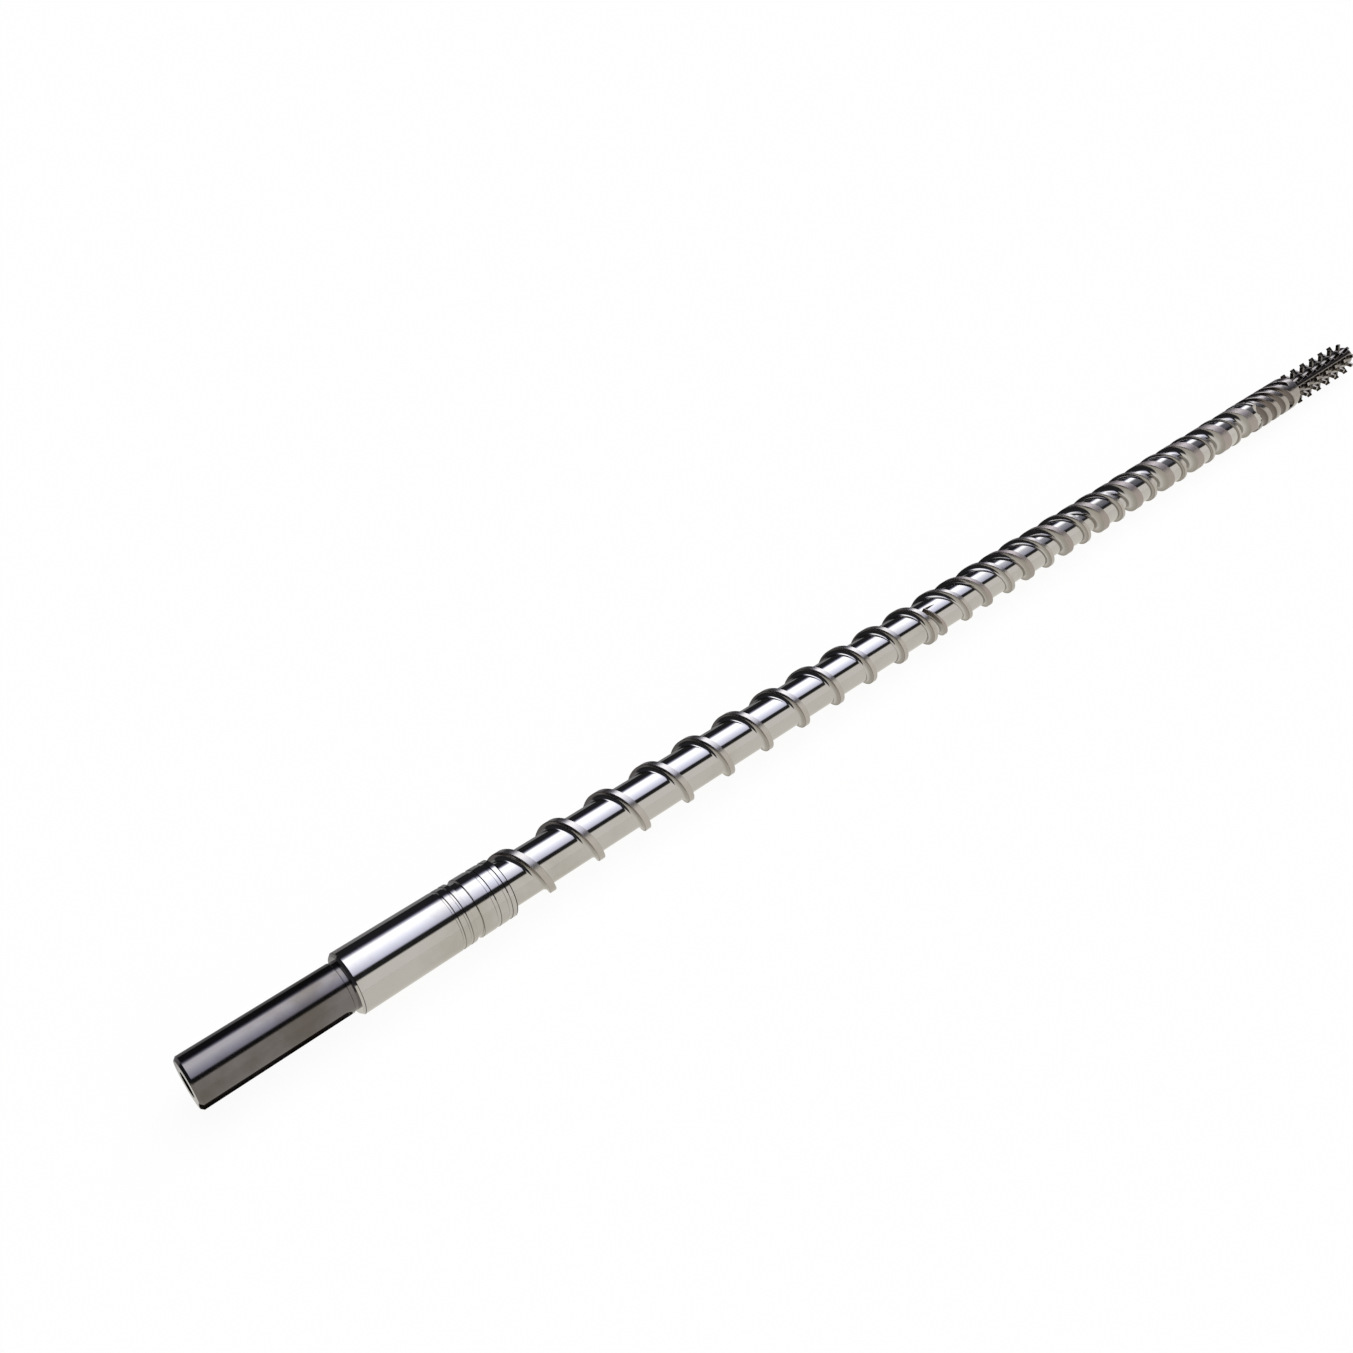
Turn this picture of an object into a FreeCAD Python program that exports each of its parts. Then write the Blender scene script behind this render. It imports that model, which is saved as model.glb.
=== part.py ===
import FreeCAD, Part

import math
import os

from FreeCAD import Vector

# A barrier screw for a plasticating barrel, turned and milled from one bar.
# It is drawn upright, with its drive end at the origin and its tip up, and laid along +X at the end.
# Lengths are millimetres along the screw from the drive end. Angles are degrees round its axis,
# counted from +Y towards +Z on the finished screw.

# Working diameter and the lengths of the plain end
screw_diameter = 65.0
shank_diameter = 52.0
shank_length = 150.0
journal_length = 174.0

# Shank: edge break, runout beside the shoulder, blind bore and keyway
shank_chamfer = 2.5
runout_width = 5.5
runout_depth = 0.6
bore_diameter = 25.0
bore_depth = 60.0
drill_point_angle = 118.0
keyway_width = 16.0
keyway_depth = 6.0
keyway_length = 142.0
keyway_angle = 204.6

# Journal: its edge breaks and its turned rings, each placed from the shoulder
journal_chamfer = 2.5
throat_chamfer = 1.5
oil_ring_place = 109.0
oil_ring_pitch = 8.7
oil_ring_width = 3.2
oil_ring_depth = 1.0
oil_ring_count = 2
seal_ring_place = 125.6
seal_ring_width = 8.4
seal_ring_depth = 2.0
relief_ring_place = 149.3
relief_ring_pitch = 14.0
relief_ring_width = 4.7
relief_ring_depth = 0.8
relief_ring_count = 2

# Feed section: one right-handed flight on a straight core
feed_length = 743.0
feed_pitch = 66.0
feed_core_diameter = 51.0
flight_land = 8.0
flight_angle = 48.5
flight_drive_radius = 6.5

# Barrier section: the flight at a longer pitch, and a second, lower and widening one beside it
barrier_length = 987.0
barrier_pitch = 107.3
barrier_core_diameter = 39.0
barrier_offset = 47.0
barrier_start_back = 26.0
barrier_nose_length = 18.0
barrier_nose_land = 1.6
barrier_start_land = 5.5
barrier_end_land = 30.0
barrier_clearance = 0.9
barrier_drive_radius = 12.0
deepening_place = 800.0
deepening_length = 480.0
solids_floor_place = 26.0
solids_start_dip = 0.6
solids_end_depth = 1.3

# Fluted mixer: round-bottomed flutes in a full cylinder
mixer_length = 172.0
mixer_bevel = 10.0
flute_count = 4
flute_lead = 160.0
flute_radius = 8.5
flute_lift = 0.5
flute_run_in = 6.0
flute_plain_end = 30.0
flute_angle = 35.0

# Pin mixer: rings of teeth on a waist
ring_count = 6
ring_pitch = 46.5
ring_land = 8.0
ring_gap = 39.0
waist_diameter = 40.0
waist_corner_radius = 9.0
teeth_per_ring = 10
tooth_width = 6.0
tooth_angle = 111.6

# Tip
neck_length = 14.0
tip_angle = 60.0
tip_flat_diameter = 9.0

# How far a form runs past the surface that trims it, how far a fillet dips under its floor, and how many
# flats make the fillets of a flight and of a tooth
overrun = 1.5
fillet_dip = 0.3
flight_flats = 2
tooth_flats = 3

screw_radius = screw_diameter / 2
shank_radius = shank_diameter / 2
feed_core_radius = feed_core_diameter / 2
barrier_core_radius = barrier_core_diameter / 2
waist_radius = waist_diameter / 2
crest_radius = screw_radius + overrun
full_radius = crest_radius + overrun
hidden_radius = barrier_core_radius - 2 * overrun

journal_end = shank_length + journal_length
feed_end = journal_end + feed_length
mixer_start = feed_end + barrier_length
mixer_end = mixer_start + mixer_length
pins_start = mixer_end + ring_gap
pins_end = pins_start + (ring_count - 1) * ring_pitch + ring_land
neck_end = pins_end + waist_corner_radius + neck_length
tip_flat_radius = tip_flat_diameter / 2
screw_length = neck_end + (waist_radius - tip_flat_radius) / math.tan(math.radians(tip_angle / 2))

# The barrier flight runs beside the main one, so its place and angle follow from that flight's.
barrier_start = feed_end - barrier_start_back
barrier_end = mixer_start + overrun
barrier_angle = flight_angle - 360 * (barrier_start_back + barrier_offset) / barrier_pitch

origin = Vector(0, 0, 0)
screw_axis = Vector(0, 0, 1)


class Outline:
    # A closed outline in a plane through the axis, drawn point by point as radius and length.
    def __init__(self, radius, length):
        self.first = Vector(radius, 0, length)
        self.last = self.first
        self.edges = []

    def line(self, radius, length):
        point = Vector(radius, 0, length)
        self.edges.append(Part.makeLine(self.last, point))
        self.last = point

    # A quarter of a circle about the centre given, to the point given, drawn as even flats.
    def flats(self, radius, length, centre_radius, centre_length, count):
        centre = Vector(centre_radius, 0, centre_length)
        first = self.last - centre
        last = Vector(radius, 0, length) - centre
        for flat in range(count):
            turn = math.pi / 2 * (flat + 1) / count
            point = centre + first * math.cos(turn) + last * math.sin(turn)
            self.line(point.x, point.z)

    def wire(self):
        self.line(self.first.x, self.first.z)
        return Part.Wire(self.edges)

    def turned(self):
        return Part.Face(self.wire()).revolve(origin, screw_axis, 360)


# A right-handed helix from one length to another, which starts at the angle given, as one edge a turn.
def helix(pitch, start, end, angle, radius):
    turns = math.ceil((end - start) / pitch)
    rise = (end - start) / turns
    edges = []
    for turn in range(turns):
        edge = Part.makeHelix(pitch, rise, radius)
        edge.rotate(origin, screw_axis, angle + 360 * turn * rise / pitch)
        edge.translate(Vector(0, 0, start + turn * rise))
        edges += edge.Edges
    return Part.Wire(edges)


# A form drawn at length 0 and angle 0, moved to its own length and angle.
def placed(form, length, angle):
    copy = form.copy()
    copy.rotate(origin, screw_axis, angle)
    copy.translate(Vector(0, 0, length))
    return copy


# The solid that sections leave along a spine.
def swept(spine, sections):
    shell = Part.BRepOffsetAPI.MakePipeShell(spine)
    shell.setFrenetMode(True)
    for section in sections:
        shell.add(section, False, False)
    shell.build()
    shell.makeSolid()
    return shell.shape()


# A solid wound round the axis, from its first section to its last.
def wound(pitch, start, end, angle, first, last=None):
    sections = [placed(first, start, angle)]
    if last is not None:
        sections.append(placed(last, end, angle + 360 * (end - start) / pitch))
    return swept(helix(pitch, start, end, angle, feed_core_radius), sections)


# A flight's section: a land between two flanks, with a fillet on its drive side.
def flight_section(land_start, land_end, floor, fillet):
    low = floor - fillet_dip
    section = Outline(hidden_radius, land_start - fillet)
    section.line(low, land_start - fillet)
    section.flats(low + fillet, land_start, low + fillet, land_start - fillet, flight_flats)
    section.line(crest_radius, land_start)
    section.line(crest_radius, land_end)
    section.line(hidden_radius, land_end)
    return section.wire()


# The main flight's two stretches, which meet face to face where the pitch changes.
def main_flight():
    half = flight_land / 2
    section = flight_section(-half, half, feed_core_radius, flight_drive_radius)
    start = journal_end - flight_land - overrun
    start_angle = flight_angle - 360 * (feed_end - start) / feed_pitch
    feed = wound(feed_pitch, start, feed_end, start_angle, section)
    barrier = wound(barrier_pitch, feed_end, mixer_start + flight_land, flight_angle, section)
    return [feed, barrier]


# Section of the barrier flight with the land given, drawn from its drive side.
def barrier_section(land):
    return flight_section(0, land, barrier_core_radius, barrier_drive_radius)


# The barrier flight: it begins as a narrow edge, and its land then widens evenly to the end. It is trimmed
# to stand lower than the main flight.
def barrier_flight():
    nose_start = barrier_start - barrier_nose_length
    nose_angle = barrier_angle - 360 * barrier_nose_length / barrier_pitch
    nose = barrier_section(barrier_nose_land)
    first = barrier_section(barrier_start_land)
    last = barrier_section(barrier_end_land)
    edge = wound(barrier_pitch, nose_start, barrier_start, nose_angle, nose, first)
    flight = wound(barrier_pitch, barrier_start, barrier_end, barrier_angle, first, last)
    crest = Part.makeCylinder(screw_radius - barrier_clearance, screw_length)
    return [edge.common(crest), flight.common(crest)]


# The floor of the solids channel: a shelf on the core, from inside the barrier flight to inside the
# main flight's next turn.
def shelf_section(radius):
    near = barrier_nose_land / 2
    far = barrier_pitch - barrier_offset
    section = Outline(hidden_radius + overrun, near)
    section.line(radius, near)
    section.line(radius, far)
    section.line(hidden_radius + overrun, far)
    return section.wire()


# The shelf starts under the core and rises evenly, so that the channel grows shallow.
def solids_floor():
    start = barrier_start + solids_floor_place
    angle = barrier_angle + 360 * solids_floor_place / barrier_pitch
    first = shelf_section(feed_core_radius - solids_start_dip)
    last = shelf_section(screw_radius - solids_end_depth)
    return wound(barrier_pitch, start, barrier_end, angle, first, last)


# The core under the flights and the teeth, with the full cylinders on both sides of the flights.
def core():
    body = Outline(0, 0)
    body.line(full_radius, 0)
    body.line(full_radius, journal_end - throat_chamfer - (full_radius - screw_radius))
    body.line(screw_radius - throat_chamfer, journal_end)
    body.line(feed_core_radius, journal_end)
    body.line(feed_core_radius, journal_end + deepening_place)
    body.line(barrier_core_radius, journal_end + deepening_place + deepening_length)
    body.line(barrier_core_radius, mixer_start - mixer_bevel)
    body.line(barrier_core_radius + mixer_bevel, mixer_start)
    body.line(full_radius, mixer_start)
    body.line(full_radius, mixer_end)
    body.line(waist_radius + mixer_bevel, mixer_end)
    body.line(waist_radius, mixer_end + mixer_bevel)
    body.line(waist_radius, neck_end)
    body.line(tip_flat_radius, screw_length)
    body.line(0, screw_length)
    return body.turned()


# A square ring groove in the journal, placed from the shoulder.
def ring_groove(bar, place, width, depth):
    start = shank_length + place
    bar.line(screw_radius, start)
    bar.line(screw_radius - depth, start)
    bar.line(screw_radius - depth, start + width)
    bar.line(screw_radius, start + width)


# One row of teeth along the screw, as a plate on the waist. Its gaps have round corners.
def row_of_teeth():
    low = waist_radius - fillet_dip
    shoulder = low + waist_corner_radius
    row = Outline(hidden_radius, pins_start - waist_corner_radius)
    for ring in range(ring_count):
        start = pins_start + ring * ring_pitch
        end = start + ring_land
        row.line(low, start - waist_corner_radius)
        row.flats(shoulder, start, shoulder, start - waist_corner_radius, tooth_flats)
        row.line(crest_radius, start)
        row.line(crest_radius, end)
        row.line(shoulder, end)
        row.flats(low, end + waist_corner_radius, shoulder, end + waist_corner_radius, tooth_flats)
    row.line(hidden_radius, pins_end + waist_corner_radius)
    plate = Part.Face(row.wire()).extrude(Vector(0, tooth_width, 0))
    plate.translate(Vector(0, -tooth_width / 2, 0))
    return plate


def teeth():
    plate = row_of_teeth()
    return [placed(plate, 0, tooth_angle + row * 360 / teeth_per_ring) for row in range(teeth_per_ring)]


# The bar as turned to its diameters. Everything is trimmed to it.
def turned_bar():
    bar = Outline(0, 0)
    bar.line(shank_radius - shank_chamfer, 0)
    bar.line(shank_radius, shank_chamfer)
    bar.line(shank_radius, shank_length - runout_width)
    bar.line(shank_radius - runout_depth, shank_length - runout_width + runout_depth)
    bar.line(shank_radius - runout_depth, shank_length)
    bar.line(screw_radius - journal_chamfer, shank_length)
    bar.line(screw_radius, shank_length + journal_chamfer)
    for ring in range(oil_ring_count):
        ring_groove(bar, oil_ring_place + ring * oil_ring_pitch, oil_ring_width, oil_ring_depth)
    ring_groove(bar, seal_ring_place, seal_ring_width, seal_ring_depth)
    for ring in range(relief_ring_count):
        ring_groove(bar, relief_ring_place + ring * relief_ring_pitch, relief_ring_width, relief_ring_depth)
    bar.line(screw_radius, screw_length + overrun)
    bar.line(0, screw_length + overrun)
    return bar.turned()


# One round-bottomed flute, with the ball ends that its cutter leaves.
def flute(angle):
    start = mixer_start - flute_run_in
    spine = helix(flute_lead, start, mixer_end - flute_plain_end, angle, screw_radius + flute_lift)
    first = spine.Edges[0]
    last = spine.Edges[-1]
    start_point = first.valueAt(first.FirstParameter)
    end_point = last.valueAt(last.LastParameter)
    circle = Part.makeCircle(flute_radius, start_point, first.tangentAt(first.FirstParameter))
    balls = [Part.makeSphere(flute_radius, start_point), Part.makeSphere(flute_radius, end_point)]
    return [swept(spine, [Part.Wire(circle)])] + balls


def flutes():
    cutters = []
    for turn in range(flute_count):
        cutters += flute(flute_angle + turn * 360 / flute_count)
    return cutters


# The keyway: open at the drive end, with the round end that its cutter leaves.
def keyway():
    half = keyway_width / 2
    floor = shank_radius - keyway_depth
    straight = keyway_length - half
    corners = [Vector(floor, -half, -overrun), Vector(floor, -half, straight),
               Vector(floor, half, straight), Vector(floor, half, -overrun)]
    middle = Vector(floor, 0, keyway_length)
    outline = [Part.makeLine(corners[3], corners[0]), Part.makeLine(corners[0], corners[1]),
               Part.Arc(corners[1], middle, corners[2]).toShape(), Part.makeLine(corners[2], corners[3])]
    cutter = Part.Face(Part.Wire(outline)).extrude(Vector(keyway_depth + overrun, 0, 0))
    cutter.rotate(origin, screw_axis, keyway_angle)
    return cutter


# The blind bore in the drive end, with its drill point.
def end_bore():
    radius = bore_diameter / 2
    hole = Outline(0, -overrun)
    hole.line(radius, -overrun)
    hole.line(radius, bore_depth)
    hole.line(0, bore_depth + radius / math.tan(math.radians(drill_point_angle / 2)))
    return hole.turned()


# The lathe's axis is laid along +X, so that +Y and +Z take the places of the sections' X and Y.
def laid_down(shape):
    copy = shape.copy()
    copy.rotate(origin, Vector(1, 1, 1), 120)
    return copy


def plasticating_screw():
    screw = core()
    for form in main_flight() + barrier_flight() + [solids_floor()]:
        screw = screw.fuse(form)
    screw = screw.multiFuse(teeth())
    screw = screw.common(turned_bar())
    screw = screw.cut(flutes() + [keyway(), end_bore()])
    return laid_down(screw)


def main():
    os.makedirs("parts", exist_ok=True)
    screw = plasticating_screw().removeSplitter()
    print("solids", len(screw.Solids), "valid", screw.isValid(), "volume", round(screw.Volume))
    print("box", screw.BoundBox)
    screw.exportStep("parts/plasticating_screw.step")


main()
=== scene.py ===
import math

import bmesh
import bpy
import numpy as np
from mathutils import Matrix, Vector


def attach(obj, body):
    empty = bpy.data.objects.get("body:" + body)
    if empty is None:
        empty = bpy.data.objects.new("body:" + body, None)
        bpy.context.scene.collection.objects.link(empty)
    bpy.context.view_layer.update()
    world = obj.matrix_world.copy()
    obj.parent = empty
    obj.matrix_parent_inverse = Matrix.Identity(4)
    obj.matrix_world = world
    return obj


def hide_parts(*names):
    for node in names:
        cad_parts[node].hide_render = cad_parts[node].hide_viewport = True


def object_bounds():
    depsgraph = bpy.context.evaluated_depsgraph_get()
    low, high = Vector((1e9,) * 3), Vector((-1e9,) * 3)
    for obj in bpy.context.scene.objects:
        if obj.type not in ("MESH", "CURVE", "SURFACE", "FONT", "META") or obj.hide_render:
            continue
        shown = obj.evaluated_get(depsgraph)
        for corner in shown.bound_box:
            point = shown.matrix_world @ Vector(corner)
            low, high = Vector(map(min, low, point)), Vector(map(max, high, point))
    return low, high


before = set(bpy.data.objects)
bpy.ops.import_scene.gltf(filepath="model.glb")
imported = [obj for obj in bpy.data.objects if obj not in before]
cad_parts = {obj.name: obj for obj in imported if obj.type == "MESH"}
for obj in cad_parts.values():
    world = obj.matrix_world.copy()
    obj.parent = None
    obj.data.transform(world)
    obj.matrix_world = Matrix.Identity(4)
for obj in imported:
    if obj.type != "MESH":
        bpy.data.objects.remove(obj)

# The screw lies along +X with its drive end at the origin. Lengths are millimetres until a mesh is made.
# Angles are degrees round the axis, from +Y towards +Z.

cadLow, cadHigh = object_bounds()
mm = 0.001
joinDistance = 2e-6
collapsedLength = 1e-6
hair = 0.01  # lets a range of steps reach its end

bar = {"radius": 32.5, "shank": 26.0, "shoulder": 150.0, "journalEnd": 324.0, "feedEnd": 1067.0,
       "mixerStart": 2054.0, "mixerEnd": 2226.0}


def onScrew(length, radius, angle):
    # Points in metres from length, radius and angle arrays.
    turn = np.radians(angle)
    length, radius, turn = np.broadcast_arrays(length, radius, turn)
    return np.stack([length, radius * np.cos(turn), radius * np.sin(turn)], -1) * mm


def makePiece(name, grids, sharpAngle=32.0):
    # One object from grids of points. A grid's faces join each row to the next.
    points, faces, base = [], [], 0
    for grid, closed in grids:
        rows, columns = grid.shape[:2]
        index = base + np.arange(rows * columns).reshape(rows, columns)
        if closed:
            index = np.concatenate([index, index[:, :1]], 1)
        quads = np.stack([index[:-1, :-1], index[:-1, 1:], index[1:, 1:], index[1:, :-1]], -1).reshape(-1, 4)
        points.append(grid.reshape(-1, 3))
        faces.append(quads)
        base += rows * columns
    points, faces = np.concatenate(points), np.concatenate(faces)
    mesh = bpy.data.meshes.new(name)
    mesh.vertices.add(len(points))
    mesh.vertices.foreach_set("co", points.astype(np.float32).ravel())
    mesh.loops.add(faces.size)
    mesh.loops.foreach_set("vertex_index", faces.astype(np.int32).ravel())
    mesh.polygons.add(len(faces))
    mesh.polygons.foreach_set("loop_start", np.arange(0, faces.size, 4, dtype=np.int32))
    mesh.update(calc_edges=True)
    piece = bpy.data.objects.new(name, mesh)
    bpy.context.scene.collection.objects.link(piece)
    cleanMesh(mesh, sharpAngle)
    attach(piece, "root")
    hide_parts("plasticating_screw")
    return piece


def cleanMesh(mesh, sharpAngle):
    # Joins doubled points, drops collapsed faces and shades smooth up to the angle given.
    work = bmesh.new()
    work.from_mesh(mesh)
    bmesh.ops.remove_doubles(work, verts=work.verts, dist=joinDistance)
    bmesh.ops.dissolve_degenerate(work, edges=work.edges, dist=collapsedLength)
    work.to_mesh(mesh)
    work.free()
    mesh.shade_smooth()
    mesh.set_sharp_from_angle(angle=math.radians(sharpAngle))


def arc(x0, r0, x1, r1, xc, rc, steps):
    # Points of the arc from the first point to the second about the centre given.
    a0, a1 = math.atan2(r0 - rc, x0 - xc), math.atan2(r1 - rc, x1 - xc)
    a1 += 2 * math.pi * round((a0 - a1) / (2 * math.pi))
    radius = math.hypot(x0 - xc, r0 - rc)
    return [(xc + radius * math.cos(a), rc + radius * math.sin(a)) for a in np.linspace(a0, a1, steps)]


def turned(outline, segments):
    # The surface that an outline of (length, radius) points leaves when it is turned about the axis.
    angle = np.arange(segments) * 360 / segments
    line = np.array(outline)
    return onScrew(line[:, :1], line[:, 1:], angle[None, :]), True


journal = {"chamfer": 2.5, "edge": 0.1, "slope": 0.7, "throat": 1.5, "sunk": 1.0, "segments": 240,
           "rings": [(259.0, 3.2, 1.0), (267.7, 3.2, 1.0), (275.6, 8.4, 2.0), (299.3, 4.7, 0.8), (313.3, 4.7, 0.8)]}


def journalOutline():
    # The rings are (start, width, depth).
    radius, edge, slope = bar["radius"], journal["edge"], journal["slope"]
    line = [(bar["shoulder"], bar["shank"] - shank["runoutDepth"]), (bar["shoulder"], radius - journal["chamfer"]),
            (bar["shoulder"] + journal["chamfer"], radius)]
    for start, width, depth in journal["rings"]:
        line += [(start - edge, radius), (start, radius - edge), (start + slope, radius - depth),
                 (start + width - slope, radius - depth), (start + width, radius - edge),
                 (start + width + edge, radius)]
    end, throat = bar["journalEnd"], journal["throat"]
    line += [(end - throat, radius), (end, radius - throat), (end, flight["core"] - journal["sunk"])]
    return line


def makeJournal():
    return makePiece("journal", [turned(journalOutline(), journal["segments"])])


shank = {"chamfer": 2.5, "runoutWidth": 5.5, "runoutDepth": 0.6, "bore": 12.5, "boreDepth": 60.0,
         "drillPoint": 7.5, "keyHalf": 8.0, "keyFloor": 20.0, "keyEnd": 142.0, "keyAngle": 204.6,
         "straightSteps": 12, "endSteps": 13, "outsideSteps": 160, "floorSteps": 16}


def shankSlices():
    # Rings of the shank, each with its radius and the half width of the keyway there.
    half, end = shank["keyHalf"], shank["keyEnd"]
    straight = end - half
    runout = bar["shoulder"] - shank["runoutWidth"]
    slices = [(0.0, bar["shank"] - shank["chamfer"], half), (shank["chamfer"], bar["shank"], half)]
    slices += [(x, bar["shank"], half) for x in np.linspace(shank["chamfer"], straight, shank["straightSteps"])[1:]]
    for turn in np.linspace(0, 90, shank["endSteps"])[1:]:
        slices.append((straight + half * math.sin(math.radians(turn)), bar["shank"],
                       half * math.cos(math.radians(turn))))
    slices += [(runout, bar["shank"], 0.0), (runout + shank["runoutDepth"], bar["shank"] - shank["runoutDepth"], 0.0),
               (bar["shoulder"], bar["shank"] - shank["runoutDepth"], 0.0)]
    return slices


def shankRing(x, radius, half):
    # One ring of the shank: round its outside, down the keyway's wall, across its floor and up again.
    edge = math.degrees(math.asin(half / radius)) if half > 0 else 0.0
    around = np.linspace(edge, 360 - edge, shank["outsideSteps"])
    outside = np.stack([radius * np.cos(np.radians(around)), radius * np.sin(np.radians(around))], -1)
    across = np.linspace(-half, half, shank["floorSteps"])
    depth = shank["keyFloor"] if half > 0 else radius
    floor = np.stack([np.full(shank["floorSteps"], depth), across], -1)
    ring = np.concatenate([outside, floor])
    turn = math.radians(shank["keyAngle"])
    y = ring[:, 0] * math.cos(turn) - ring[:, 1] * math.sin(turn)
    z = ring[:, 0] * math.sin(turn) + ring[:, 1] * math.cos(turn)
    return np.stack([np.full(len(y), x), y, z], -1) * mm


def makeShank():
    rings = [shankRing(*each) for each in shankSlices()]
    bore = rings[0] * np.array([1.0, 0, 0])
    flat = rings[0][:, 1:]
    bore[:, 1:] = flat / np.linalg.norm(flat, axis=1, keepdims=True) * shank["bore"] * mm
    floor = bore + np.array([shank["boreDepth"], 0, 0]) * mm
    point = floor * np.array([1.0, 0, 0]) + np.array([shank["drillPoint"], 0, 0]) * mm
    return makePiece("drive_shank", [(np.array([point, floor, bore] + rings), True)])


flight = {"half": 4.0, "break": 0.45, "feedPitch": 66.0, "pitch": 107.3, "angle": 48.5, "core": 25.5,
          "driveRadius": 6.5, "frontRadius": 2.0, "dip": 0.3, "lift": 0.01}
barrier = {"offset": 47.0, "break": 0.3, "noseStart": 1023.0, "start": 1041.0, "end": 2055.5, "noseLand": 1.6,
           "startLand": 5.5, "endLand": 30.0, "crest": 31.6, "core": 19.5, "driveRadius": 12.0,
           "deepStart": 1124.0, "deepEnd": 1604.0, "shelfPlace": 26.0, "shelfStart": 24.9, "shelfEnd": 31.2,
           "wallRadius": 10.0}
winding = {"step": 4.5, "before": 460.0, "after": 60.0, "gap": 0.02, "past": 0.001, "unbegun": 0.55,
           "unbegunRadius": 0.1, "startOver": 0.6, "endOver": 0.4, "frontSteps": 4, "channelSteps": 12,
           "driveSteps": 14, "aheadSteps": 10, "mainSteps": 12}


def coreRadius(x):
    # The turned core: feed core, then a cone down to the deep core, then the mixer's wall.
    share = np.clip((x - barrier["deepStart"]) / (barrier["deepEnd"] - barrier["deepStart"]), 0, 1)
    radius = flight["core"] + (barrier["core"] - flight["core"]) * share
    wall = np.clip(x - (bar["mixerStart"] - barrier["wallRadius"]), 0, barrier["wallRadius"])
    radius = radius + barrier["wallRadius"] - np.sqrt(barrier["wallRadius"] ** 2 - wall ** 2)
    return np.where(x >= bar["mixerStart"], bar["radius"], radius)


def mainPlace(turn):
    # Length of the main flight's middle at a running angle that is 0 where its pitch changes.
    pitch = np.where(turn < 0, flight["feedPitch"], flight["pitch"])
    return bar["feedEnd"] + turn / 360 * pitch


def floorRadius(x, left):
    # The channel floor ahead of the barrier flight: the core, or the shelf where it stands higher.
    start = barrier["start"] + barrier["shelfPlace"]
    share = (left - start) / (barrier["end"] - start)
    shelf = np.where(share > 0, barrier["shelfStart"] + (barrier["shelfEnd"] - barrier["shelfStart"]) * share, 0)
    return np.maximum(coreRadius(x), shelf)


def woundSection(turn):
    # Lengths and radii from the middle of the main flight to the middle of its next turn.
    radius, half, trim = bar["radius"], flight["half"], flight["break"]
    first, second = float(mainPlace(turn)), float(mainPlace(turn + 360))
    left = bar["feedEnd"] + turn / 360 * flight["pitch"] + barrier["offset"]
    begun = left >= barrier["noseStart"]
    low = barrier["core"] - flight["dip"]
    front = flight["frontRadius"]
    start = first + half
    line = [(first, radius), (start - trim, radius), (start, radius - trim), (start, low + front + flight["lift"])]
    line += arc(start, low + front, start + front, low, start + front, low + front, winding["frontSteps"])
    drive = barrier["driveRadius"] if begun else winding["unbegunRadius"]
    if begun:
        nose = np.clip((left - barrier["noseStart"]) / (barrier["start"] - barrier["noseStart"]), 0, 1)
        rest = np.clip((left - barrier["start"]) / (barrier["end"] - barrier["start"]), 0, 1)
        land = barrier["noseLand"] + (barrier["startLand"] - barrier["noseLand"]) * nose
        land += (barrier["endLand"] - barrier["startLand"]) * rest
        crest = barrier["crest"]
    else:
        left, land, crest = first + winding["unbegun"] * (second - first), barrier["noseLand"], low
    bottom = left - drive
    line += [(x, low) for x in
             np.linspace(start + front, max(bottom, start + front), winding["channelSteps"])[1:-1]]
    line += [(max(x, start + front), min(r, crest)) for x, r in
             arc(bottom, low, left, low + drive, bottom, low + drive, winding["driveSteps"])]
    lip = barrier["break"]
    edge = crest - lip if begun else low
    line += [(left, edge), (left + lip, crest), (left + land - lip, crest)]
    ahead = len(line)
    line += [(left + land, edge), (left + land, low)]
    drive = flight["driveRadius"]
    top = flight["core"] - flight["dip"]
    second -= half
    bottom = second - drive
    line += [(x, low) for x in np.linspace(left + land, bottom, winding["aheadSteps"])]
    line += arc(bottom, top, second, top + drive, bottom, top + drive, winding["mainSteps"])
    line += [(second, radius - trim), (second + trim, radius), (second + half, radius)]
    line = np.array(line)
    beyond = np.arange(len(line)) >= ahead
    if begun:
        floor = np.where(beyond, floorRadius(line[:, 0], left), coreRadius(line[:, 0]))
    else:
        floor = coreRadius(line[:, 0])
    return line[:, 0], np.maximum(line[:, 1], floor)


def makeFlights():
    # The feed and barrier flights and their channels, as one long strip wound round the core.
    lowest = -360 * (bar["feedEnd"] - bar["journalEnd"]) / flight["feedPitch"] - winding["before"]
    highest = 360 * (bar["mixerStart"] - bar["feedEnd"]) / flight["pitch"] + winding["after"]
    begins = 360 * (barrier["noseStart"] - bar["feedEnd"] - barrier["offset"]) / flight["pitch"]
    nose = [begins - winding["gap"], begins + winding["past"]]
    turns = np.concatenate([np.arange(lowest, highest, winding["step"]), nose])
    turns.sort()
    rows = []
    for turn in turns:
        x, radius = woundSection(turn)
        x = np.clip(x, bar["journalEnd"] - winding["startOver"], bar["mixerStart"] + winding["endOver"])
        radius = np.minimum(radius, bar["radius"])
        angle = flight["angle"] + turn
        nearMixer = x > flutes["start"] - flutes["radius"]
        if nearMixer.any():
            radius = np.where(nearMixer, np.minimum(radius, fluteCut(x, angle)), radius)
        rows.append(onScrew(x, radius, angle))
    return makePiece("wound_flights", [(np.array(rows), False)])


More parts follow.
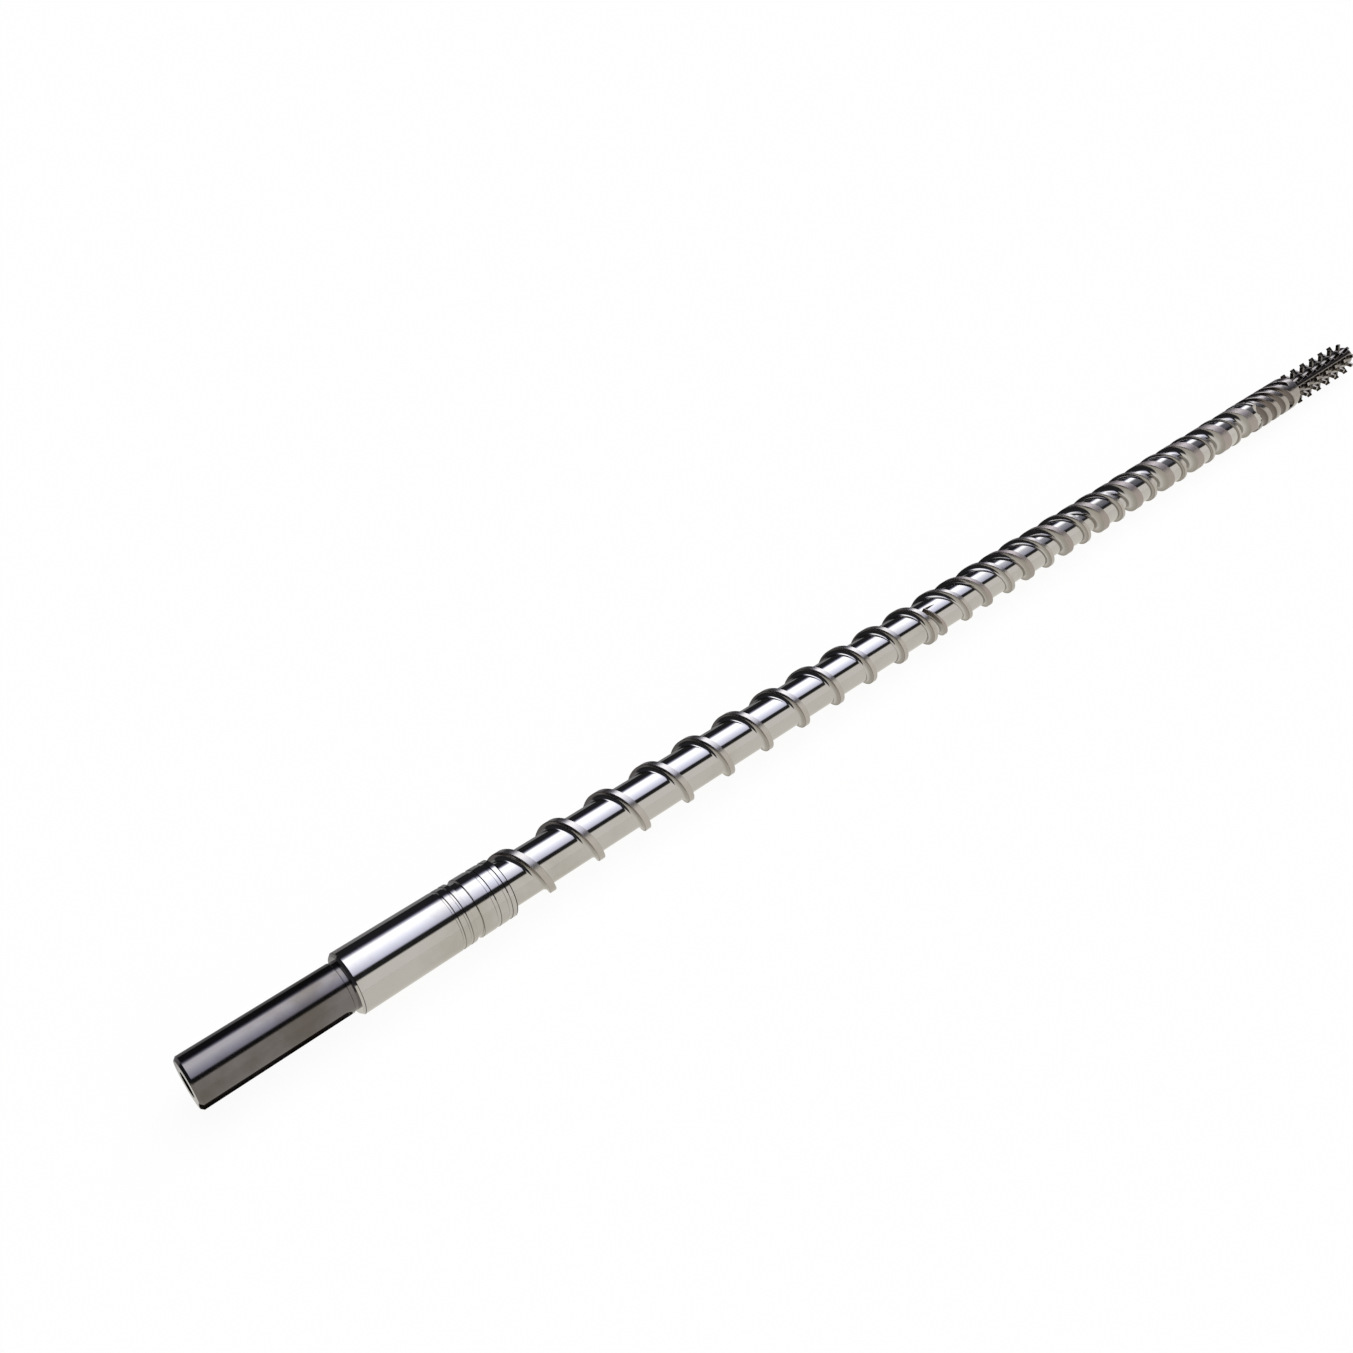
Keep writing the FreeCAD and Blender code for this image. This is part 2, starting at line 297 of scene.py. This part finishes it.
flutes = {"count": 4, "lead": 160.0, "radius": 8.5, "lift": 0.5, "start": 2048.0, "end": 2196.0, "angle": 35.0,
          "uncut": 9.0, "ballStep": 0.5, "reach": 44.0, "fineness": 0.2, "margin": 0.1, "rowStep": 1.2,
          "endRows": 2.0, "endRowStep": 0.5, "lastRow": 8.0, "edge": 0.4, "cutColumns": 22, "landColumns": 10}


def fluteCut(x, angle):
    # How far from the axis the flutes' cutter leaves metal, as the lowest of many balls along its path.
    centre = bar["radius"] + flutes["lift"]
    low = np.full(np.broadcast(x, angle).shape, bar["radius"] + flutes["uncut"])
    for number in range(flutes["count"]):
        for place in np.arange(flutes["start"], flutes["end"] + hair, flutes["ballStep"]):
            near = np.abs(x - place) < flutes["radius"]
            if not near.any():
                continue
            at = flutes["angle"] + 360 * number / flutes["count"] + 360 * (place - flutes["start"]) / flutes["lead"]
            away = np.radians(angle - at)
            under = flutes["radius"] ** 2 - (x - place) ** 2 - (centre * np.sin(away)) ** 2
            hit = (under > 0) & (np.cos(away) > 0)
            reach = centre * np.cos(away) - np.sqrt(np.maximum(under, 0))
            low = np.where(hit, np.minimum(low, reach), low)
    return low


def mixerRow(x):
    # One ring of the fluted mixer, with most of its points inside the flutes.
    along = min(max(x, flutes["start"]), flutes["end"]) - flutes["start"]
    margin = flutes["margin"]
    angles = []
    for number in range(flutes["count"]):
        middle = flutes["angle"] + 360 * number / flutes["count"] + 360 * along / flutes["lead"]
        near = middle + np.arange(-flutes["reach"], flutes["reach"] + hair, flutes["fineness"])
        cut = near[fluteCut(np.full(near.shape, x), near) < bar["radius"]]
        low, high = (cut[0] - margin, cut[-1] + margin) if len(cut) else (middle - margin / 2, middle + margin / 2)
        angles.append((low, high))
    out = []
    for number, (low, high) in enumerate(angles):
        nextLow = angles[(number + 1) % len(angles)][0] + (360 if number == len(angles) - 1 else 0)
        across = np.linspace(0, math.pi, flutes["cutColumns"])
        out += list(low + (high - low) * (1 - np.cos(across)) / 2)
        out += list(np.linspace(high, nextLow, flutes["landColumns"] + 2)[1:-1])
    angle = np.array(out)
    radius = np.minimum(bar["radius"], fluteCut(np.full(angle.shape, x), angle))
    return onScrew(x, radius, angle)


def makeMixer():
    start, end, edge = bar["mixerStart"], bar["mixerEnd"], flutes["edge"]
    balls, fine = flutes["end"] - flutes["endRows"], flutes["endRowStep"]
    places = np.concatenate([np.arange(start, balls, flutes["rowStep"]),
                             np.arange(balls, flutes["end"] + flutes["radius"] + fine, fine),
                             [end - flutes["lastRow"], end - edge]])
    rows = [mixerRow(x) for x in places]
    angle = np.degrees(np.arctan2(rows[-1][:, 2], rows[-1][:, 1]))
    rows.append(onScrew(end, bar["radius"] - edge, angle))
    rows.append(onScrew(end, pins["waist"] + pins["bevel"], angle))
    return makePiece("fluted_mixer", [(np.array(rows), True)])


pins = {"rings": 6, "pitch": 46.5, "land": 8.0, "first": 2265.0, "waist": 20.0, "sunk": 1.5, "bevel": 10.0,
        "gapRadius": 8.2, "gapCentre": 27.2, "gapFoot": -88.0, "gapSteps": 16, "teeth": 10, "half": 3.0,
        "angle": 111.6, "edge": 0.3, "edgeDrop": 0.25, "neck": 23.0, "waistSteps": 60, "segments": 96,
        "tipFlat": 4.5, "tipHalfAngle": 30.0, "tipEdge": 0.6, "tipOut": 0.35, "tipIn": 0.4}


def waistOutline():
    # The bevel at the mixer's end, the waist under the teeth, the neck and the cone.
    start, waist = bar["mixerEnd"], pins["waist"]
    neckEnd = pins["first"] + (pins["rings"] - 1) * pins["pitch"] + pins["land"] + pins["neck"]
    tip = neckEnd + (waist - pins["tipFlat"]) / math.tan(math.radians(pins["tipHalfAngle"]))
    line = [(start, waist + pins["bevel"]), (start + pins["bevel"], waist)]
    line += [(x, waist) for x in np.linspace(start + pins["bevel"], neckEnd, pins["waistSteps"])[1:]]
    return line + [(tip - pins["tipEdge"], pins["tipFlat"] + pins["tipOut"]),
                   (tip, pins["tipFlat"] - pins["tipIn"]), (tip, 0.0)]


def toothGrid(start, angle):
    # One tooth: its outline along the screw, drawn up each side and over the land. The gaps between the
    # rings are cut with a round tool, so a tooth is slimmest below its land.
    radius, gap, centre, edge = bar["radius"], pins["gapRadius"], pins["gapCentre"], pins["edge"]
    end = start + pins["land"]
    top = math.degrees(math.asin((radius - edge - centre) / gap))
    away = gap * math.cos(math.radians(top))
    side = [(start - away + gap * math.cos(math.radians(a)), centre + gap * math.sin(math.radians(a)))
            for a in np.linspace(pins["gapFoot"], top, pins["gapSteps"])]
    line = side + [(start + edge, radius), (end - edge, radius)] + [(start + end - x, r) for x, r in reversed(side)]
    line = np.array(line)
    half, drop = pins["half"], pins["edgeDrop"]
    turn = math.radians(angle)
    foot = np.full(len(line), pins["waist"] - pins["sunk"])
    rows = []
    for offset, lower in [(-half, None), (-half, drop), (edge - half, 0.0), (half - edge, 0.0), (half, drop),
                          (half, None)]:
        height = foot if lower is None else np.sqrt(line[:, 1] ** 2 - offset ** 2) - lower
        y = height * math.cos(turn) - offset * math.sin(turn)
        z = height * math.sin(turn) + offset * math.cos(turn)
        rows.append(np.stack([line[:, 0], y, z], -1) * mm)
    return np.array(rows), False


def makePins():
    grids = [turned(waistOutline(), pins["segments"])]
    for ring in range(pins["rings"]):
        for tooth in range(pins["teeth"]):
            angle = pins["angle"] + tooth * 360 / pins["teeth"]
            grids.append(toothGrid(pins["first"] + ring * pins["pitch"], angle))
    return makePiece("pin_mixer", grids)


class Socket:
    # A node's output that takes part in sums, so that a material reads like a formula.
    def __init__(self, tree, output):
        self.tree = tree
        self.output = output

    def node(self, kind, settings, values):
        made = self.tree.nodes.new(kind)
        for name, value in settings.items():
            setattr(made, name, value)
        for name, value in values.items():
            if isinstance(value, Socket):
                self.tree.links.new(value.output, made.inputs[name])
            else:
                made.inputs[name].default_value = value
        return made

    def maths(self, operation, *values):
        made = self.node("ShaderNodeMath", {"operation": operation}, dict(enumerate(values)))
        return Socket(self.tree, made.outputs[0])

    def __add__(self, other):
        return self.maths("ADD", self, other)

    def __radd__(self, other):
        return self.maths("ADD", other, self)

    def __sub__(self, other):
        return self.maths("SUBTRACT", self, other)

    def __rsub__(self, other):
        return self.maths("SUBTRACT", other, self)

    def __mul__(self, other):
        return self.maths("MULTIPLY", self, other)

    def __rmul__(self, other):
        return self.maths("MULTIPLY", other, self)

    def __truediv__(self, other):
        return self.maths("DIVIDE", self, other)

    def between(self, low, high):
        made = self.node("ShaderNodeMapRange", {"interpolation_type": "SMOOTHSTEP"},
                         {"Value": self, "From Min": low, "From Max": high})
        return Socket(self.tree, made.outputs[0])

    def mix(self, first, second):
        made = self.node("ShaderNodeMix", {"data_type": "RGBA"}, {"Factor": self, "A": first, "B": second})
        return Socket(self.tree, made.outputs["Result"])

    def out(self, kind, settings, values, output=0):
        return Socket(self.tree, self.node(kind, settings, values).outputs[output])


def newMaterial(name):
    material = bpy.data.materials.new(name)
    material.use_nodes = True
    tree = material.node_tree
    tree.nodes.clear()
    coordinates = tree.nodes.new("ShaderNodeTexCoord")
    return material, Socket(tree, coordinates.outputs["Object"])


grain = {"cloudFrom": 0.46, "cloudTo": 0.72, "cloudDetail": 6.0, "cloudRough": 0.6, "spotFrom": 0.55,
         "spotTo": 0.75, "spotScale": 5.0, "spotDetail": 4.0, "markDetail": 5.0, "markRough": 0.65,
         "wallStep": 0.1, "bumpDepth": 0.0004}


def steel(name, look):
    # Machined steel: fine marks round the axis, soft stains and duller patches. The lands and what lies just under
    # them each have a tone of their own, which on the journal's ring-groove walls is painted shade. The flanks that
    # face along the screw are darkened with painted shade.
    material, place = newMaterial(name)
    apart = place.node("ShaderNodeSeparateXYZ", {}, {"Vector": place})
    x, y, z = (Socket(place.tree, apart.outputs[n]) for n in range(3))
    around = place.maths("ARCTAN2", z, y)
    depth = place.maths("SQRT", y * y + z * z)
    land = depth.between(look["landFrom"] * mm, look["landTo"] * mm)
    wall = depth.between(look["wallFrom"] * mm, (look["wallFrom"] + grain["wallStep"]) * mm) * (1.0 - land)
    unrolled = place.out("ShaderNodeCombineXYZ", {}, {"X": x * look["markScale"], "Y": around * look["markStretch"]})
    marks = place.out("ShaderNodeTexNoise", {}, {"Vector": unrolled, "Scale": 1.0, "Detail": grain["markDetail"],
                                                 "Roughness": grain["markRough"]})
    clouds = place.out("ShaderNodeTexNoise", {}, {"Vector": place, "Scale": look["cloudScale"],
                                                  "Detail": grain["cloudDetail"], "Roughness": grain["cloudRough"]})
    spots = place.out("ShaderNodeTexNoise", {}, {"Vector": place, "Detail": grain["spotDetail"],
                                                 "Scale": look["cloudScale"] * grain["spotScale"]})
    metal = land.mix(look["colour"], look["landColour"])
    # The band just under the lands takes the wall colour: the barrier crest's own duller tone on the flights, painted
    # shade on the journal's ring-groove walls.
    metal = (wall * look["wallShare"]).mix(metal, look["wallToneAndShade"])
    facing = place.node("ShaderNodeNewGeometry", {}, {})
    normal = place.node("ShaderNodeSeparateXYZ", {}, {"Vector": Socket(place.tree, facing.outputs["Normal"])})
    along = place.maths("ABSOLUTE", Socket(place.tree, normal.outputs[0]))
    # Faces that face along the screw are darkened by the flank colour: painted shade on the flanks.
    flank = along.between(look["flankFrom"], look["flankTo"])
    metal = (flank * look["flankShadeShare"]).mix(metal, look["flankPaintedShade"])
    stained = clouds.between(grain["cloudFrom"], grain["cloudTo"]) * look["stainShare"]
    colour = stained.mix(metal, look["stain"])
    spotted = spots.between(grain["spotFrom"], grain["spotTo"])
    rough = look["roughness"] + look["landRough"] * land + look["wallRough"] * wall + look["flankRough"] * flank
    rough = rough + look["roughSpread"] * (clouds - 0.5)
    rough = rough + look["markRough"] * (marks - 0.5) + look["spotRough"] * spotted
    bump = place.out("ShaderNodeBump", {}, {"Strength": look["bump"], "Distance": grain["bumpDepth"],
                                              "Height": marks})
    shader = place.out("ShaderNodeBsdfPrincipled", {}, {"Base Color": colour, "Metallic": 1.0, "Roughness": rough,
                                                        "Normal": bump})
    place.node("ShaderNodeOutputMaterial", {}, {"Surface": shader})
    return material


# The flank colour darkens the flanks that face along the screw as painted shade; the wall colour is the barrier
# crest's own duller tone.
polished = {"colour": (0.57, 0.555, 0.54, 1), "landColour": (0.53, 0.5, 0.475, 1), "landFrom": 32.1, "landTo": 32.3,
            "landRough": 0.2, "wallToneAndShade": (0.44, 0.385, 0.365, 1), "wallFrom": 31.4, "wallShare": 1.0,
            "wallRough": 0.34, "flankPaintedShade": (0.33, 0.305, 0.275, 1), "flankFrom": 0.45, "flankTo": 0.9,
            "flankShadeShare": 0.8, "flankRough": 0.12, "stain": (0.44, 0.41, 0.365, 1), "stainShare": 0.6,
            "roughness": 0.08, "roughSpread": 0.08, "markRough": 0.08, "spotRough": 0.04, "cloudScale": 9.0,
            "markScale": 700.0, "markStretch": 1.2, "bump": 0.05}
# On the journal the wall colour is painted shade: near black on the ring grooves' walls.
journalSteel = dict(polished, landColour=(0.56, 0.545, 0.53, 1), landFrom=32.3, landTo=32.45, landRough=0.0,
                    wallToneAndShade=(0.05, 0.05, 0.05, 1), wallFrom=31.75, wallShare=0.9, wallRough=0.0,
                    flankShadeShare=0.0, flankRough=0.0, cloudScale=12.0)
# Below 12.6 mm, inside the drive end's bore, the colour is near black: painted shade in the bore.
ground = {"colour": (0.05, 0.05, 0.05, 1), "landColour": (0.195, 0.182, 0.183, 1), "landFrom": 12.6, "landTo": 13.4,
          "landRough": 0.02, "wallToneAndShade": (0.05, 0.05, 0.05, 1), "wallFrom": 12.5, "wallShare": 0.0,
          "wallRough": 0.0, "flankPaintedShade": (0.1, 0.1, 0.1, 1), "flankFrom": 0.8, "flankTo": 1.0,
          "flankShadeShare": 0.0, "flankRough": 0.0, "stain": (0.13, 0.115, 0.1, 1), "stainShare": 0.8,
          "roughness": 0.1, "roughSpread": 0.12, "markRough": 0.1, "spotRough": 0.05, "cloudScale": 14.0,
          "markScale": 900.0, "markStretch": 1.5, "bump": 0.08}
# The flank colour is painted shade, near black on the flute walls, the teeth's sides and the bevel.
milled = {"colour": (0.19, 0.165, 0.148, 1), "landColour": (0.38, 0.345, 0.32, 1), "landFrom": 31.9, "landTo": 32.4,
          "landRough": 0.08, "wallToneAndShade": (0.05, 0.05, 0.05, 1), "wallFrom": 31.8, "wallShare": 0.0,
          "wallRough": 0.0, "flankPaintedShade": (0.1, 0.09, 0.08, 1), "flankFrom": 0.5, "flankTo": 0.9,
          "flankShadeShare": 0.6, "flankRough": 0.1, "stain": (0.17, 0.14, 0.12, 1), "stainShare": 0.8,
          "roughness": 0.14, "roughSpread": 0.12, "markRough": 0.1, "spotRough": 0.06, "cloudScale": 16.0,
          "markScale": 500.0, "markStretch": 4.0, "bump": 0.08}


stage = {"floor": (0.62, 0.59, 0.54, 1), "white": (1, 1, 1, 1), "mirrored": (0.88, 0.86, 0.79, 1),
         "farMirroredShade": (0.2, 0.2, 0.21, 1), "farFrom": 0.02, "farTo": 0.08,
         "strength": 1.11, "seenShare": 0.85, "mirroredShare": 0.75, "size": 14.0}


def makeFloor():
    low, size = cadLow.z, stage["size"]
    corners = [(-size, -size, low), (size, -size, low), (size, size, low), (-size, size, low)]
    mesh = bpy.data.meshes.new("floor")
    mesh.from_pydata(corners, [], [(0, 1, 2, 3)])
    floor = bpy.data.objects.new("floor", mesh)
    bpy.context.scene.collection.objects.link(floor)
    material, place = newMaterial("pale_floor")
    path = place.node("ShaderNodeLightPath", {}, {})
    seen = Socket(place.tree, path.outputs["Is Camera Ray"])
    mirrored = Socket(place.tree, path.outputs["Is Glossy Ray"])
    share = seen * stage["seenShare"] + mirrored * stage["mirroredShare"]
    matt = place.out("ShaderNodeBsdfDiffuse", {}, {"Color": stage["floor"]})
    apart = place.node("ShaderNodeSeparateXYZ", {}, {"Vector": place})
    # Seen in reflections, the floor past the screw's axis turns dark grey: painted shade in the reflection.
    far = Socket(place.tree, apart.outputs[1]).between(stage["farFrom"], stage["farTo"])
    tone = mirrored.mix(stage["white"], far.mix(stage["mirrored"], stage["farMirroredShade"]))
    white = place.out("ShaderNodeEmission", {}, {"Color": tone, "Strength": stage["strength"]})
    shader = place.out("ShaderNodeMixShader", {}, {0: share, 1: matt, 2: white})
    place.node("ShaderNodeOutputMaterial", {}, {"Surface": shader})
    mesh.materials.append(material)


studio = {"dark": (0.03, 0.03, 0.035, 1), "endFrom": -0.28, "endTo": 0.02, "farFrom": 0.72, "farTo": 0.85,
          "lowFrom": 0.35, "lowTo": 0.48, "highFrom": 0.765, "highTo": 0.775, "farShare": 0.9}
bands = [
    (0.0, (0.02, 0.02, 0.022, 1)), (0.21, (0.02, 0.02, 0.026, 1)), (0.24, (0.1, 0.1, 0.16, 1)),
    (0.275, (0.7, 0.72, 0.9, 1)), (0.31, (2.0, 2.05, 2.2, 1)), (0.42, (2.0, 2.05, 2.2, 1)),
    (0.55, (1.3, 1.35, 1.6, 1)), (0.655, (0.8, 0.82, 1.05, 1)), (0.68, (0.02, 0.02, 0.02, 1)),
    (0.765, (0.02, 0.02, 0.02, 1)), (0.79, (0.88, 0.86, 0.81, 1)), (1.0, (0.88, 0.86, 0.81, 1)),
]


def makeWorld():
    # A studio of long soft panels beside and above the screw, as bands of light round its axis. It is dark
    # behind the drive end, and its side panel is dark past the tip.
    world = bpy.data.worlds.new("studio")
    bpy.context.scene.world = world
    world.use_nodes = True
    tree = world.node_tree
    tree.nodes.clear()
    place = Socket(tree, tree.nodes.new("ShaderNodeTexCoord").outputs["Generated"])
    apart = place.node("ShaderNodeSeparateXYZ", {}, {"Vector": place})
    x, y, z = (Socket(tree, apart.outputs[n]) for n in range(3))
    height = place.maths("ARCTAN2", z, y) / math.pi
    ramp = place.node("ShaderNodeValToRGB", {}, {"Fac": height})
    points = ramp.color_ramp.elements
    while len(points) < len(bands):
        points.new(0.5)
    for point, (position, colour) in zip(points, bands):
        point.position = position
        point.color = colour
    ahead = x.between(studio["endFrom"], studio["endTo"])
    colour = ahead.mix(studio["dark"], Socket(tree, ramp.outputs["Color"]))
    side = height.between(studio["lowFrom"], studio["lowTo"]) * (1.0 - height.between(studio["highFrom"],
                                                                                      studio["highTo"]))
    beyond = x.between(studio["farFrom"], studio["farTo"]) * side
    colour = (beyond * studio["farShare"]).mix(colour, studio["dark"])
    path = place.node("ShaderNodeLightPath", {}, {})
    colour = Socket(tree, path.outputs["Is Camera Ray"]).mix(colour, stage["white"])
    light = place.out("ShaderNodeBackground", {}, {"Color": colour, "Strength": 1.0})
    place.node("ShaderNodeOutputWorld", {}, {"Surface": light})


camera = {"place": (-0.0785, -0.6824, 0.8250), "heading": 46.388, "pitch": 36.0, "lens": 29.22, "sensor": 36.0,
          "near": 0.05, "far": 60.0}


def makeCamera():
    data = bpy.data.cameras.new("camera")
    data.sensor_width = camera["sensor"]
    data.lens = camera["lens"]
    data.clip_start, data.clip_end = camera["near"], camera["far"]
    eye = bpy.data.objects.new("camera", data)
    bpy.context.scene.collection.objects.link(eye)
    heading, pitch = math.radians(camera["heading"]), math.radians(camera["pitch"])
    ahead = Vector((math.cos(heading) * math.cos(pitch), math.sin(heading) * math.cos(pitch), -math.sin(pitch)))
    eye.location = camera["place"]
    eye.rotation_mode = "QUATERNION"
    eye.rotation_quaternion = ahead.to_track_quat("-Z", "Y")
    bpy.context.scene.camera = eye


def paint(piece, material):
    piece.data.materials.clear()
    piece.data.materials.append(material)


makeCamera()
makeFloor()
makeWorld()
print("stage made")
shankPiece = makeShank()
journalPiece = makeJournal()
flights = makeFlights()
print("shank, journal and flights made")
mixer = makeMixer()
pinMixer = makePins()
print("mixers made")
bright, milledSteel = steel("polished_steel", polished), steel("milled_steel", milled)
paint(shankPiece, steel("ground_steel", ground))
paint(journalPiece, steel("journal_steel", journalSteel))
paint(flights, bright)
paint(mixer, milledSteel)
paint(pinMixer, milledSteel)
for piece in (shankPiece, journalPiece, flights, mixer, pinMixer):
    print(piece.name, len(piece.data.polygons), "faces")
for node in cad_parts.values():
    paint(node, bright)

bpy.context.scene.view_settings.view_transform = "Standard"
